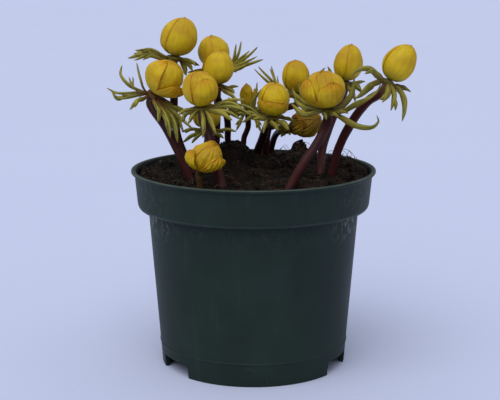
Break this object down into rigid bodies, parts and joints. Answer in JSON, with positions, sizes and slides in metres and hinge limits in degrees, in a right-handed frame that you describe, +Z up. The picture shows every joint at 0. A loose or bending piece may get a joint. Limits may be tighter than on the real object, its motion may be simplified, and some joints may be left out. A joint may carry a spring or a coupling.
{
  "type": "potted winter aconite",
  "caption": "Winter aconite in bud in a dark plastic nursery pot: maroon stems in compost, green ruffs of cut bracts and round yellow blooms.",
  "frame": {"origin": "on the surface that the pot stands on, under the middle of the object's bounding box, which is the pot's axis", "axes": "+Z up along the pot's axis, -Y towards the viewer in the picture, +X to the right"},
  "size_m": [0.1352, 0.11, 0.156],
  "materials": {
    "plastic": "satin",
    "compost": "matte",
    "stem": "satin",
    "bract": "matte",
    "sepal": "satin"
  },
  "bodies": {
    "root": {"pot": "plastic", "soil": "compost", "stem_01": "stem", "stem_02": "stem", "stem_03": "stem", "stem_04": "stem", "stem_05": "stem", "stem_06": "stem", "stem_07": "stem", "stem_08": "stem", "stem_09": "stem", "stem_10": "stem", "stem_11": "stem", "stem_12": "stem", "stem_13": "stem", "stem_14": "stem", "ruff_01": "bract", "ruff_02": "bract", "ruff_03": "bract", "ruff_04": "bract", "ruff_05": "bract", "ruff_06": "bract", "ruff_07": "bract", "ruff_08": "bract", "ruff_09": "bract", "ruff_10": "bract", "ruff_11": "bract", "ruff_12": "bract", "ruff_13": "bract", "bloom_01": "sepal", "bloom_02": "sepal", "bloom_03": "sepal", "bloom_04": "sepal", "bloom_05": "sepal", "bloom_06": "sepal", "bloom_07": "sepal", "bloom_08": "sepal", "bloom_09": "sepal", "bloom_10": "sepal", "bloom_11": "sepal", "bloom_12": "sepal", "bloom_13": "sepal", "bloom_14": "sepal"}
  },
  "joints": []
}
